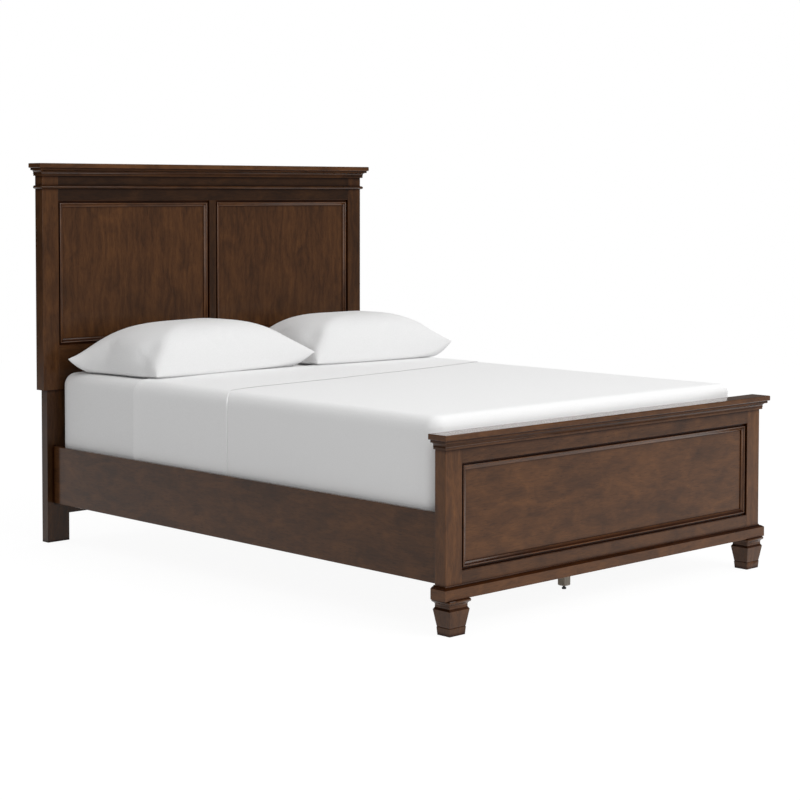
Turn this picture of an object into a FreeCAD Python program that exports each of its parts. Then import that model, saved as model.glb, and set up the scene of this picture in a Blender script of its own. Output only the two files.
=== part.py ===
import FreeCAD, Part
import math
import os

# A panel bed for one wide mattress: a tall framed headboard on two plain legs, a low framed
# footboard on two carved feet, side rails, slats on ledges with centre legs, and bedding.
# Lengths are in millimetres. +Z is up, the head is at +Y and the foot at -Y, and +X is on the
# right as seen from the foot. The origin is on the floor under the middle of the whole bed.

# Mattress, and the gaps that the frame leaves round it
mattress_width = 1523.0
mattress_length = 2030.0
mattress_height = 328.0
mattress_corner_radius = 40.0
mattress_top_radius = 36.0
mattress_bottom_bevel = 14.0
mattress_side_gap = 2.5
mattress_foot_gap = 43.0
mattress_head_gap = 3.0
soft_gap = 0.3

# Sheet that wraps the mattress, with its top folded back over itself
sheet_thickness = 2.5
fold_thickness = 2.0
sheet_from_head = 482.0
fold_width = 540.0
hem_width = 9.0
hem_rise = 1.5
sheet_bottom_above_slats = 14.0

# Pillows
pillow_left_length = 795.0
pillow_right_length = 740.0
pillow_depth = 480.0
pillow_height = 196.0
pillow_seam_height = 52.0
pillow_seam_thickness = 12.0
pillow_lift_width = 118.0
pillow_under_bow = 4.0
pillow_waist = 16.0
pillow_left_x = -332.0
pillow_right_x = 467.0
pillow_left_from_head = 281.0
pillow_right_from_head = 316.0
pillow_left_turn = 4.0
pillow_right_turn = -3.0

# Side rails and ledges
rail_thickness = 16.0
rail_height = 219.5
rail_bottom = 151.0
rail_edge_radius = 1.5
ledge_width = 22.0
ledge_height = 30.0
ledge_end_gap = 72.0
slat_top = 330.0

# Slats, centre legs and their levellers
slat_count = 9
slat_width = 90.0
slat_thickness = 20.0
slat_end_gap = 1.0
first_slat_from_foot = 132.0
last_slat_from_head = 90.0
centre_leg_width = 30.0
centre_leg_chamfer = 3.0
leveller_gap = 12.0
leveller_pad_height = 6.0
leveller_pad_radius = 7.5
leveller_stem_radius = 4.0
leveller_stem_length = 26.0
leveller_hole_depth = 34.0
thread_clearance = 0.05

# Headboard and footboard frames
stile_width = 72.0
frame_rail_depth = 32.0
panel_thickness = 9.0
panel_recess = 12.0
groove_depth = 8.0
panel_play = 1.0
tenon_length = 20.0
tenon_thickness = 12.0
tenon_shoulder = 12.0
edge_ease = 1.2

# Footboard
footboard_height = 618.0
foot_post_depth = 45.0
foot_post_outside_rail = 25.0
foot_top_rail_height = 74.5
foot_bottom_rail_height = 82.0
foot_block_height = 112.0

# Headboard
headboard_height = 1457.5
head_stile_depth = 49.0
head_body_bottom = 589.0
head_top_rail_height = 124.5
head_bottom_rail_height = 168.0
middle_stile_width = 32.0
bead_height = 13.0
bead_out = 9.0
bead_below_cap = 66.5

# Headboard legs and stretcher
leg_width = 99.0
leg_depth = 38.0
leg_outside_rail = 28.0
stile_outside_leg = 20.0
leg_set_back = 8.0
leg_socket_height = 150.0
stretcher_height = 90.0
stretcher_thickness = 18.0
stretcher_bottom = 106.0

# Cap boards with the crown moulding under them
cap_thickness = 18.0
cap_overhang = 27.0
cap_back_overhang = 3.0
cap_edge_radius = 3.0
crown_height = 30.0
crown_fillet_out = 20.5
crown_fillet_height = 8.5
crown_step = 2.0
crown_cove_out = 9.0
crown_cove_height = 14.0
crown_foot_out = 7.5
crown_bow = 3.5

# Base moulding round the footboard
base_out = 15.0
base_face_height = 33.0
base_bevel_height = 5.5
base_bevel_out = 7.0
base_cove_height = 4.0
base_lip_out = 2.0
base_back = 3.5
base_cove_bow = 1.2

# Panel moulding, as width across and height above the panel
trim_width = 24.5
trim_lip_width = 1.5
trim_lip_height = 10.5
trim_quirk_width = 7.5
trim_quirk_floor = 1.5
trim_bead_width = 7.0
trim_bead_top = 10.0
trim_cove_bow = 0.8
trim_edge_height = 3.0

# Carved feet: half widths of a square section, which is wider along X by foot_wider
foot_wider = 3.75
foot_back_shift = 1.5
foot_inset = 11.0
foot_base_half = 30.0
foot_pad_half = 32.0
foot_pad_height = 24.0
foot_groove_half = 30.8
foot_groove_height = 3.0
foot_taper_start_half = 31.8
foot_taper_start = 29.0
foot_shoulder_half = 40.0
foot_shoulder_height = 79.0
foot_neck_half = 35.5
foot_neck_bottom = 86.0
foot_neck_top = 92.0
foot_ring_half = 41.5
foot_ring_bottom = 102.0
foot_ring_bulge = 1.8
foot_cove_bow = 1.6

# Corner brackets that bolt the rails to the posts and legs
bracket_thickness = 3.0
bracket_height = 110.0
bracket_length = 62.0
bracket_width = 30.0
bracket_bottom_above_rail = 12.0
bracket_bend = 3.0
bracket_screw_share = 0.66

# Fasteners
hexagon_corners = 6
bolt_radius = 4.0
bolt_length = 24.0
bolt_head_radius = 7.0
bolt_head_height = 4.5
bolt_pitch = 60.0
screw_radius = 2.0
screw_head_radius = 4.2
screw_head_height = 2.4
bracket_screw_length = 12.0
bracket_screw_pitch = 36.0
deck_screw_length = 34.0
ledge_screw_length = 30.0
ledge_screw_count = 6
ledge_screw_end = 90.0
leg_bolt_length = 38.0
leg_bolt_edge = 30.0
hanger_radius = 4.0
hanger_in_foot = 60.0
hanger_in_post = 40.0
leg_screw_offset = 8.0
leg_screw_length = 44.0

# One overrun for every cut, and how near two places are when they count as one
over = 10.0
nearness = 0.1

# Places along the bed, worked out from the sizes above
half_opening = mattress_width / 2 + mattress_side_gap
rail_length = mattress_foot_gap + mattress_length + mattress_head_gap + leg_set_back
bed_length = (cap_overhang + foot_post_depth + rail_length - leg_set_back
              + head_stile_depth + cap_back_overhang)
foot_face = cap_overhang - bed_length / 2
foot_back = foot_face + foot_post_depth
leg_face = foot_back + rail_length
head_face = leg_face - leg_set_back
head_back = head_face + head_stile_depth
mattress_foot = foot_back + mattress_foot_gap
mattress_head = mattress_foot + mattress_length

# Places across the bed
rail_outer = half_opening + rail_thickness
foot_half = rail_outer + foot_post_outside_rail
foot_opening_half = foot_half - stile_width
leg_outer = rail_outer + leg_outside_rail
leg_inner = leg_outer - leg_width
head_half = leg_outer + stile_outside_leg
head_opening_half = head_half - stile_width
middle_half = middle_stile_width / 2
middle_tenon_half = middle_half - groove_depth - panel_play

# Heights
rail_top = rail_bottom + rail_height
slat_bottom = slat_top - slat_thickness
foot_cap_bottom = footboard_height - cap_thickness
head_cap_bottom = headboard_height - cap_thickness
foot_opening_bottom = foot_block_height + foot_bottom_rail_height
foot_opening_top = foot_cap_bottom - foot_top_rail_height
head_opening_bottom = head_body_bottom + head_bottom_rail_height
head_opening_top = head_cap_bottom - head_top_rail_height
leg_top = head_body_bottom + leg_socket_height
mattress_bottom = slat_top + soft_gap
mattress_top = mattress_bottom + mattress_height - soft_gap - sheet_thickness

os.makedirs("parts", exist_ok=True)


def vector(x, y, z):
    return FreeCAD.Vector(x, y, z)


def save(name, shape):
    """Writes one node's STEP file."""
    if isinstance(shape, list):
        shape = Part.makeCompound(shape)
    if not shape.isValid():
        print("not valid:", name)
    shape.exportStep("parts/" + name + ".step")


def box(x0, x1, y0, y1, z0, z1):
    """A box between two corners, given low and high on each axis."""
    return Part.makeBox(x1 - x0, y1 - y0, z1 - z0, vector(x0, y0, z0))


def mirrored(shape):
    """The same piece on the other side of the bed."""
    return shape.mirror(vector(0, 0, 0), vector(1, 0, 0))


def cylinder(radius, length, base, axis):
    return Part.makeCylinder(radius, length, base, axis)


def outline(steps):
    """A closed face from points in the local YZ plane. A step is a point, or a point on the
    way and an end point, which draw an arc."""
    edges = []
    start = vector(0, -steps[0][0], steps[0][1])
    last = start
    for step in steps[1:]:
        end = vector(0, -step[-2], step[-1])
        if len(step) == 4:
            way = vector(0, -step[0], step[1])
            edges.append(Part.Arc(last, way, end).toShape())
        else:
            edges.append(Part.LineSegment(last, end).toShape())
        last = end
    edges.append(Part.LineSegment(last, start).toShape())
    return Part.Face(Part.Wire(edges))


def mitre_wedge(run, sign, reach, rise):
    """What a mitre saw takes off past a run of the face line, on the plus side."""
    corners = [
        vector(run - sign * over, over, -rise),
        vector(run + sign * reach, -reach, -rise),
        vector(run + 2 * reach + over, -reach, -rise),
        vector(run + 2 * reach + over, over, -rise),
    ]
    face = Part.Face(Part.makePolygon(corners + corners[:1]))
    return face.extrude(vector(0, 0, 2 * rise))


def stick(steps, length, ends, reach, rise):
    """A moulding stick of a given profile, centred on the origin and running along X.
    The profile gives how far it stands out, which is along -Y, and how high. Each of the
    two ends is 1 for an outside mitre, -1 for an inside mitre and 0 for a square end."""
    extra = [reach if end == 1 else 0 for end in ends]
    body = outline(steps).extrude(vector(length + extra[0] + extra[1], 0, 0))
    body.translate(vector(-length / 2 - extra[0], 0, 0))
    if ends[1] != 0:
        body = body.cut(mitre_wedge(length / 2, ends[1], reach + over, rise + over))
    if ends[0] != 0:
        wedge = mitre_wedge(length / 2, ends[0], reach + over, rise + over)
        body = body.cut(wedge.mirror(vector(0, 0, 0), vector(1, 0, 0)))
    return body


def placed(shape, origin, out, up):
    """Turns a stick so that its profile stands out along one axis and up along another."""
    run = up.cross(out)
    turn = FreeCAD.Matrix(
        run.x, -out.x, up.x, origin.x,
        run.y, -out.y, up.y, origin.y,
        run.z, -out.z, up.z, origin.z,
        0, 0, 0, 1)
    copy = shape.copy()
    copy.Placement = FreeCAD.Placement(turn)
    return copy


def three_sides(steps, half, front, back, level, reach, rise):
    """A moulding along the front of a board and back along its two ends, mitred."""
    up = vector(0, 0, 1)
    depth = back - front
    middle = (front + back) / 2
    along = stick(steps, 2 * half, (1, 1), reach, rise)
    left = stick(steps, depth, (0, 1), reach, rise)
    right = stick(steps, depth, (1, 0), reach, rise)
    return [
        placed(along, vector(0, front, level), vector(0, -1, 0), up),
        placed(left, vector(-half, middle, level), vector(-1, 0, 0), up),
        placed(right, vector(half, middle, level), vector(1, 0, 0), up),
    ]


def crown_profile():
    """Fillet, cove and foot, measured down from the cap board."""
    cove_top_out = crown_fillet_out - crown_step
    cove_bottom = -crown_fillet_height - crown_cove_height
    way_out = (cove_top_out + crown_cove_out) / 2 - crown_bow
    way_up = (cove_bottom - crown_fillet_height) / 2 + crown_bow
    return [
        (0, 0),
        (crown_fillet_out, 0),
        (crown_fillet_out, -crown_fillet_height),
        (cove_top_out, -crown_fillet_height),
        (way_out, way_up, crown_cove_out, cove_bottom),
        (crown_foot_out, cove_bottom),
        (crown_foot_out, -crown_height),
        (0, -crown_height),
    ]


def base_profile():
    """A tall flat face, a bevel and a small cove that dies into the post."""
    bevel_top = base_face_height + base_bevel_height
    cove_top = bevel_top + base_cove_height
    way_out = (base_bevel_out + base_lip_out) / 2 - base_cove_bow
    way_up = (bevel_top + cove_top) / 2 - base_cove_bow
    return [
        (0, 0),
        (base_out, 0),
        (base_out, base_face_height),
        (base_bevel_out, bevel_top),
        (way_out, way_up, base_lip_out, cove_top),
        (0, cove_top),
    ]


def bead_profile():
    """A half round nosing."""
    nose = bead_out - bead_height / 2
    return [
        (0, 0),
        (nose, 0),
        (bead_out, bead_height / 2, nose, bead_height),
        (0, bead_height),
    ]


def trim_profile():
    """A thin lip against the frame, a narrow groove, a half round bead and a shallow cove."""
    quirk_end = trim_lip_width + trim_quirk_width
    bead_end = quirk_end + trim_bead_width
    bead_shoulder = trim_bead_top - trim_bead_width / 2
    cove_up = (bead_shoulder + trim_edge_height) / 2 - trim_cove_bow
    return [
        (0, 0),
        (0, trim_lip_height),
        (trim_lip_width, trim_lip_height),
        (trim_lip_width, trim_quirk_floor),
        (quirk_end, trim_quirk_floor),
        (quirk_end, bead_shoulder),
        (quirk_end + trim_bead_width / 2, trim_bead_top, bead_end, bead_shoulder),
        ((bead_end + trim_width) / 2, cove_up, trim_width, trim_edge_height),
        (trim_width, 0),
    ]


def panel_trim(x0, x1, z0, z1, panel_face):
    """Four mitred sticks that frame a panel."""
    towards = vector(0, -1, 0)
    across = (x0 + x1) / 2
    level = (z0 + z1) / 2
    wide = stick(trim_profile(), x1 - x0, (-1, -1), trim_width, trim_lip_height)
    tall = stick(trim_profile(), z1 - z0, (-1, -1), trim_width, trim_lip_height)
    return [
        placed(wide, vector(across, panel_face, z0), vector(0, 0, 1), towards),
        placed(wide, vector(across, panel_face, z1), vector(0, 0, -1), towards),
        placed(tall, vector(x0, panel_face, level), vector(1, 0, 0), towards),
        placed(tall, vector(x1, panel_face, level), vector(-1, 0, 0), towards),
    ]


def cap_board(half, front, back, bottom):
    """A cap board, rounded over along the top and bottom of its front and ends."""
    board = box(-half - cap_overhang, half + cap_overhang, front - cap_overhang,
                back + cap_back_overhang, bottom, bottom + cap_thickness)
    shown = [edge for edge in board.Edges
             if min(v.Point.y for v in edge.Vertexes) < back
             and abs(edge.Vertexes[0].Point.z - edge.Vertexes[-1].Point.z) < nearness]
    return board.makeFillet(cap_edge_radius, shown)


def frame_rail(half, face, z0, z1, groove_low, groove_high):
    """A rail between two stiles, with a tenon at each end and grooves for the panel."""
    rail = box(-half, half, face, face + frame_rail_depth, z0, z1)
    tenon_front = face + (frame_rail_depth - tenon_thickness) / 2
    tenon = box(-half - tenon_length, half + tenon_length, tenon_front,
                tenon_front + tenon_thickness, z0 + tenon_shoulder, z1 - tenon_shoulder)
    rail = rail.fuse(tenon)
    groove_front = face + panel_recess
    groove_back = groove_front + panel_thickness
    if groove_low:
        rail = rail.cut(box(-half, half, groove_front, groove_back, z0, z0 + groove_depth))
    if groove_high:
        rail = rail.cut(box(-half, half, groove_front, groove_back, z1 - groove_depth, z1))
    return rail.removeSplitter()


def mortise(half, face, z0, z1):
    """The hole in a stile that takes a rail's tenon, on the left side."""
    front = face + (frame_rail_depth - tenon_thickness) / 2
    return box(-half - tenon_length, -half, front, front + tenon_thickness,
               z0 + tenon_shoulder, z1 - tenon_shoulder)


def stile_groove(edge, face, z0, z1):
    """The groove in a left stile's inner edge that takes the panel between two rails."""
    front = face + panel_recess
    return box(edge - groove_depth, edge, front, front + panel_thickness,
               z0 - groove_depth, z1 + groove_depth)


def panel(x0, x1, face, z0, z1):
    """A flat panel that reaches into the grooves round its opening, with play."""
    reach = groove_depth - panel_play
    front = face + panel_recess
    return box(x0 - reach, x1 + reach, front, front + panel_thickness, z0 - reach, z1 + reach)


def eased(shape, x, y, along_back):
    """Breaks a post's upright corners at one side and, if asked, its back corners too."""
    chosen = []
    for edge in shape.Edges:
        first = edge.Vertexes[0].Point
        last = edge.Vertexes[-1].Point
        upright = abs(first.x - last.x) < nearness and abs(first.y - last.y) < nearness
        at_side = abs(first.x - x) < nearness
        at_face = abs(first.y - y) < nearness
        if upright and at_side and (at_face or along_back):
            chosen.append(edge)
    return shape.makeFillet(edge_ease, chosen)


def hexagon(radius, height):
    """A six-sided outline round the Z axis, which keeps the faces of small fasteners few."""
    corners = []
    for corner in range(hexagon_corners):
        angle = 2 * math.pi * corner / hexagon_corners
        corners.append(vector(radius * math.cos(angle), radius * math.sin(angle), height))
    return Part.makePolygon(corners + corners[:1])


def aimed(shape, base, axis):
    """Moves a fastener made on the Z axis to its base point and turns it along its axis."""
    shape.Placement = FreeCAD.Placement(base, FreeCAD.Rotation(vector(0, 0, 1), axis))
    return shape


def shank(radius, length):
    return Part.Face(hexagon(radius, 0)).extrude(vector(0, 0, length))


def hex_bolt(length, base, axis):
    """A hexagon bolt. The head lies on the base point and the shank runs along the axis."""
    head = Part.Face(hexagon(bolt_head_radius, -bolt_head_height)).extrude(vector(0, 0, bolt_head_height))
    return aimed(head.fuse(shank(bolt_radius, length)), base, axis)


def wood_screw(length, base, axis):
    """A countersunk screw, flush with the face that the base point lies on."""
    wide = [corner.Point for corner in hexagon(screw_head_radius, 0).OrderedVertexes]
    narrow = [corner.Point for corner in hexagon(screw_radius, screw_head_height).OrderedVertexes]
    faces = [Part.Face(hexagon(screw_head_radius, 0)), Part.Face(hexagon(screw_radius, screw_head_height))]
    for number in range(hexagon_corners):
        after = (number + 1) % hexagon_corners
        side = Part.makePolygon([wide[number], wide[after], narrow[after], narrow[number], wide[number]])
        faces.append(Part.Face(side))
    head = Part.Solid(Part.Shell(faces))
    return aimed(head.fuse(shank(screw_radius, length)).removeSplitter(), base, axis)


def drilled(shape, pins):
    """Cuts the holes that a list of fasteners fills."""
    for pin in pins:
        shape = shape.cut(pin)
    return shape


def foot_profile(wider):
    """Half outline of a carved foot, mirrored about its middle, as a closed face in XZ."""
    neck_way = (foot_neck_half + foot_ring_half) / 2 - foot_cove_bow
    neck_way_height = (foot_neck_top + foot_ring_bottom) / 2 + foot_cove_bow
    ring_way_height = (foot_ring_bottom + foot_block_height) / 2
    groove_top = foot_taper_start
    groove_mid = foot_pad_height + foot_groove_height
    half_steps = [
        (foot_base_half, 0),
        (foot_pad_half, foot_pad_height),
        (foot_groove_half, groove_mid),
        (foot_taper_start_half, groove_top),
        (foot_shoulder_half, foot_shoulder_height),
        (foot_neck_half, foot_neck_bottom),
        (foot_neck_half, foot_neck_top),
        (neck_way, neck_way_height, foot_ring_half, foot_ring_bottom),
        (foot_ring_half + foot_ring_bulge, ring_way_height, foot_ring_half, foot_block_height),
    ]
    edges = []
    for side in (1, -1):
        last = vector(side * (half_steps[0][0] + wider), 0, 0)
        for step in half_steps[1:]:
            end = vector(side * (step[-2] + wider), 0, step[-1])
            if len(step) == 4:
                way = vector(side * (step[0] + wider), 0, step[1])
                edges.append(Part.Arc(last, way, end).toShape())
            else:
                edges.append(Part.LineSegment(last, end).toShape())
            last = end
    base = foot_base_half + wider
    top = foot_ring_half + wider
    edges.append(Part.LineSegment(vector(-base, 0, 0), vector(base, 0, 0)).toShape())
    edges.append(Part.LineSegment(vector(-top, 0, foot_block_height),
                                  vector(top, 0, foot_block_height)).toShape())
    return Part.Face(Part.Wire(Part.__sortEdges__(edges)))


def carved_foot(x, y):
    """A square tapered foot: two crossing profiles leave mitred corners all the way down."""
    reach = foot_ring_half + foot_wider + over
    across = foot_profile(foot_wider)
    across.translate(vector(0, -reach, 0))
    across = across.extrude(vector(0, 2 * reach, 0))
    along = foot_profile(-foot_wider)
    along.rotate(vector(0, 0, 0), vector(0, 0, 1), 90)
    along.translate(vector(-reach, 0, 0))
    along = along.extrude(vector(2 * reach, 0, 0))
    foot = across.common(along).removeSplitter()
    foot.translate(vector(x, y, 0))
    return foot


def bracket(x, y, side):
    """An angle bracket on a rail's inner face, its other wing on the post at y. The side is 1
    where the rail runs towards +Y and -1 where it runs towards -Y."""
    bottom = rail_bottom + bracket_bottom_above_rail
    start = vector(0, 0, 0)
    corners = [
        start,
        vector(bracket_width, 0, 0),
        vector(bracket_width, bracket_thickness, 0),
        vector(bracket_thickness, bracket_thickness, 0),
        vector(bracket_thickness, bracket_length, 0),
        vector(0, bracket_length, 0),
    ]
    face = Part.Face(Part.makePolygon(corners + corners[:1]))
    angle = face.extrude(vector(0, 0, bracket_height))
    bend = []
    for edge in angle.Edges:
        first = edge.Vertexes[0].Point
        last = edge.Vertexes[-1].Point
        upright = abs(first.z - last.z) > nearness
        inside = abs(first.x - bracket_thickness) < nearness and abs(first.y - bracket_thickness) < nearness
        if upright and inside:
            bend.append(edge)
    angle = angle.makeFillet(bracket_bend, bend)
    if side < 0:
        angle = angle.mirror(vector(0, 0, 0), vector(0, 1, 0))
    angle.translate(vector(x, y, bottom))
    return angle


def bracket_bolts(x, y, side):
    """Two bolts through a bracket's wing into the post."""
    middle = rail_bottom + bracket_bottom_above_rail + bracket_height / 2
    across = x + (bracket_thickness + bracket_width) / 2
    head_y = y + side * bracket_thickness
    return [hex_bolt(bolt_length, vector(across, head_y, middle + offset), vector(0, -side, 0))
            for offset in (-bolt_pitch / 2, bolt_pitch / 2)]


def bracket_screws(x, y, side):
    """Three screws through a bracket's other wing into the rail."""
    middle = rail_bottom + bracket_bottom_above_rail + bracket_height / 2
    along = y + side * bracket_length * bracket_screw_share
    return [wood_screw(bracket_screw_length, vector(x + bracket_thickness, along, middle + offset),
                       vector(-1, 0, 0))
            for offset in (-bracket_screw_pitch, 0, bracket_screw_pitch)]


def leveller_stem(x, y, extra, length):
    """A leveller's threaded stem, or with some extra radius the hole that it turns in."""
    return cylinder(leveller_stem_radius + extra, length, vector(x, y, leveller_gap), vector(0, 0, 1))


def bedding_block(grow, bottom):
    """The mattress form, grown by a sheet's thickness where asked: upright sides, rounded
    corners and a rounded upper edge."""
    half = mattress_width / 2 - sheet_thickness - fold_thickness - soft_gap + grow
    foot = mattress_foot + sheet_thickness + soft_gap - grow
    top = mattress_top + grow
    body = box(-half, half, foot, mattress_head + grow, bottom, top)
    upright = [edge for edge in body.Edges
               if abs(edge.Vertexes[0].Point.z - edge.Vertexes[-1].Point.z) > nearness]
    body = body.makeFillet(mattress_corner_radius + grow, upright)
    upper = [edge for edge in body.Edges
             if min(v.Point.z for v in edge.Vertexes) > top - nearness]
    return body.makeFillet(mattress_top_radius + grow, upper)


def mattress_shape():
    body = bedding_block(0, mattress_bottom)
    lower = [edge for edge in body.Edges
             if max(v.Point.z for v in edge.Vertexes) < mattress_bottom + nearness]
    return body.makeChamfer(mattress_bottom_bevel, lower)


def sheet_shape():
    """A sheet over the mattress from the foot up, and its top turned back over it in a second
    layer that ends in a raised hem."""
    low = slat_top + sheet_bottom_above_slats
    wide = mattress_width
    fold_line = mattress_head - sheet_from_head
    hem_line = fold_line - fold_width
    inner = bedding_block(soft_gap, low - over)
    first = bedding_block(soft_gap + sheet_thickness, low)
    second = bedding_block(soft_gap + sheet_thickness + fold_thickness, low)
    hem = bedding_block(soft_gap + sheet_thickness + fold_thickness + hem_rise, low)
    top = mattress_top + over
    single = box(-wide, wide, mattress_foot - over, hem_line, low - over, top)
    double = box(-wide, wide, hem_line, fold_line, low - over, top)
    edge = box(-wide, wide, hem_line, hem_line + hem_width, low - over, top)
    sheet = first.common(single).fuse(second.common(double)).fuse(hem.common(edge))
    return sheet.cut(inner).removeSplitter()


def pillow_profile(half):
    """Half width to half width: crowned on top, flat below and lifted to a thin seam."""
    flat = half - pillow_lift_width
    low = pillow_seam_height - pillow_seam_thickness / 2
    high = pillow_seam_height + pillow_seam_thickness / 2
    way_out = (half + flat) / 2 + pillow_under_bow
    way_up = low / 2 - pillow_under_bow
    edges = [
        Part.LineSegment(vector(-flat, 0, 0), vector(flat, 0, 0)).toShape(),
        Part.Arc(vector(flat, 0, 0), vector(way_out, 0, way_up), vector(half, 0, low)).toShape(),
        Part.LineSegment(vector(half, 0, low), vector(half, 0, high)).toShape(),
        Part.Arc(vector(half, 0, high), vector(0, 0, pillow_height), vector(-half, 0, high)).toShape(),
        Part.LineSegment(vector(-half, 0, high), vector(-half, 0, low)).toShape(),
        Part.Arc(vector(-half, 0, low), vector(-way_out, 0, way_up), vector(-flat, 0, 0)).toShape(),
    ]
    return Part.Face(Part.Wire(edges))


def pillow(length, middle_x, from_head, turn):
    """A filled pillow: two crossing profiles make its crown and the soft ridges that run down
    to its four ears, and its sides are drawn in between them."""
    half_length = length / 2
    half_depth = pillow_depth / 2
    along = pillow_profile(half_length)
    along.translate(vector(0, -half_depth - over, 0))
    along = along.extrude(vector(0, pillow_depth + 2 * over, 0))
    across = pillow_profile(half_depth)
    across.rotate(vector(0, 0, 0), vector(0, 0, 1), 90)
    across.translate(vector(-half_length - over, 0, 0))
    across = across.extrude(vector(length + 2 * over, 0, 0))
    body = along.common(across).removeSplitter()
    for half, other, sideways in ((half_length, half_depth, False), (half_depth, half_length, True)):
        radius = (other ** 2 + pillow_waist ** 2) / (2 * pillow_waist)
        away = half + radius - pillow_waist
        for side in (-1, 1):
            centre = vector(0, side * away, -over) if sideways else vector(side * away, 0, -over)
            body = body.cut(cylinder(radius, pillow_height + 2 * over, centre, vector(0, 0, 1)))
    body.rotate(vector(0, 0, 0), vector(0, 0, 1), turn)
    body.translate(vector(middle_x, head_face - from_head, mattress_top + soft_gap))
    return body


# Footboard frame
foot_rails = [
    (foot_block_height, foot_opening_bottom, False, True),
    (foot_opening_top, foot_cap_bottom, True, False),
]
foot_middle_y = (foot_face + foot_back + base_back - base_out) / 2 + foot_back_shift
foot_middle_x = foot_half - foot_inset - foot_base_half - foot_wider
hangers = [aimed(shank(hanger_radius, hanger_in_foot + hanger_in_post),
                 vector(side * foot_middle_x, foot_middle_y, foot_block_height - hanger_in_foot),
                 vector(0, 0, 1))
           for side in (-1, 1)]
foot_bracket_bolts = bracket_bolts(-half_opening, foot_back, 1)

foot_post = box(-foot_half, -foot_opening_half, foot_face, foot_back, foot_block_height, foot_cap_bottom)
foot_post = eased(foot_post, -foot_half, foot_face, True)
for z0, z1, low, high in foot_rails:
    foot_post = foot_post.cut(mortise(foot_opening_half, foot_face, z0, z1))
foot_post = foot_post.cut(stile_groove(-foot_opening_half, foot_face, foot_opening_bottom, foot_opening_top))
foot_post = drilled(foot_post, [hangers[0]] + foot_bracket_bolts)
save("footboard_post_left", foot_post)
save("footboard_post_right", mirrored(foot_post))

for name, (z0, z1, low, high) in zip(("footboard_bottom_rail", "footboard_top_rail"), foot_rails):
    save(name, frame_rail(foot_opening_half, foot_face, z0, z1, low, high))
save("footboard_panel", panel(-foot_opening_half, foot_opening_half, foot_face,
                              foot_opening_bottom, foot_opening_top))
save("footboard_panel_moulding", panel_trim(-foot_opening_half, foot_opening_half, foot_opening_bottom,
                                            foot_opening_top, foot_face + panel_recess))
save("footboard_cap", cap_board(foot_half, foot_face, foot_back, foot_cap_bottom))
save("footboard_crown_moulding", three_sides(crown_profile(), foot_half, foot_face, foot_back,
                                             foot_cap_bottom, crown_fillet_out, crown_height))
save("footboard_base_moulding", three_sides(base_profile(), foot_half, foot_face, foot_back + base_back,
                                            foot_block_height, base_out, foot_block_height))

# Carved feet, each held by a hanger bolt in the post above it
for name, side, hanger in zip(("foot_left", "foot_right"), (-1, 1), hangers):
    save(name, carved_foot(side * foot_middle_x, foot_middle_y).cut(hanger))
save("foot_hanger_bolts", hangers)

# Headboard legs, let into the back of the body and bolted there
leg_bolt_z = [head_body_bottom + leg_bolt_edge, leg_top - leg_bolt_edge]
leg_bolts = [hex_bolt(leg_bolt_length, vector(-head_half + stile_width / 2 + stile_outside_leg,
                                              leg_face + leg_depth, z), vector(0, -1, 0))
             for z in leg_bolt_z]
head_bracket_bolts = bracket_bolts(-half_opening, leg_face, -1)
leg = box(-leg_outer, -leg_inner, leg_face, leg_face + leg_depth, 0, leg_top)
socket = box(-leg_outer, -leg_inner, leg_face, head_back + over, head_body_bottom - over, leg_top)

# Headboard frame
head_rails = [
    (head_body_bottom, head_opening_bottom, False, True),
    (head_opening_top, head_cap_bottom, True, False),
]
head_stile = box(-head_half, -head_opening_half, head_face, head_back, head_body_bottom, head_cap_bottom)
head_stile = eased(head_stile, -head_half, head_face, True)
for z0, z1, low, high in head_rails:
    head_stile = head_stile.cut(mortise(head_opening_half, head_face, z0, z1))
head_stile = head_stile.cut(stile_groove(-head_opening_half, head_face, head_opening_bottom,
                                         head_opening_top))
head_stile = head_stile.cut(socket)
head_stile = drilled(head_stile, leg_bolts)
save("headboard_stile_left", head_stile)
save("headboard_stile_right", mirrored(head_stile))

for name, (z0, z1, low, high) in zip(("headboard_bottom_rail", "headboard_top_rail"), head_rails):
    rail = frame_rail(head_opening_half, head_face, z0, z1, low, high)
    if not low:
        rail = rail.cut(socket).cut(mirrored(socket))
        rail = drilled(rail, leg_bolts + [mirrored(bolt) for bolt in leg_bolts])
    middle_tenon = box(-middle_tenon_half, middle_tenon_half,
                       head_face + (frame_rail_depth - tenon_thickness) / 2,
                       head_face + (frame_rail_depth + tenon_thickness) / 2,
                       head_opening_bottom - tenon_length, head_opening_top + tenon_length)
    save(name, rail.cut(middle_tenon))

middle_stile = box(-middle_half, middle_half, head_face, head_face + frame_rail_depth,
                   head_opening_bottom, head_opening_top)
middle_stile = middle_stile.fuse(middle_tenon).removeSplitter()
middle_groove = stile_groove(-middle_half + groove_depth, head_face, head_opening_bottom, head_opening_top)
middle_stile = middle_stile.cut(middle_groove).cut(mirrored(middle_groove))
save("headboard_middle_stile", middle_stile)

head_panel = panel(-head_opening_half, -middle_half, head_face, head_opening_bottom, head_opening_top)
save("headboard_panel_left", head_panel)
save("headboard_panel_right", mirrored(head_panel))
for name, x0, x1 in (("headboard_panel_moulding_left", -head_opening_half, -middle_half),
                     ("headboard_panel_moulding_right", middle_half, head_opening_half)):
    save(name, panel_trim(x0, x1, head_opening_bottom, head_opening_top, head_face + panel_recess))

save("headboard_cap", cap_board(head_half, head_face, head_back, head_cap_bottom))
save("headboard_crown_moulding", three_sides(crown_profile(), head_half, head_face, head_back,
                                             head_cap_bottom, crown_fillet_out, crown_height))
save("headboard_bead_moulding", three_sides(bead_profile(), head_half, head_face, head_back,
                                            head_cap_bottom - bead_below_cap - bead_height,
                                            bead_out, bead_height))

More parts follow.
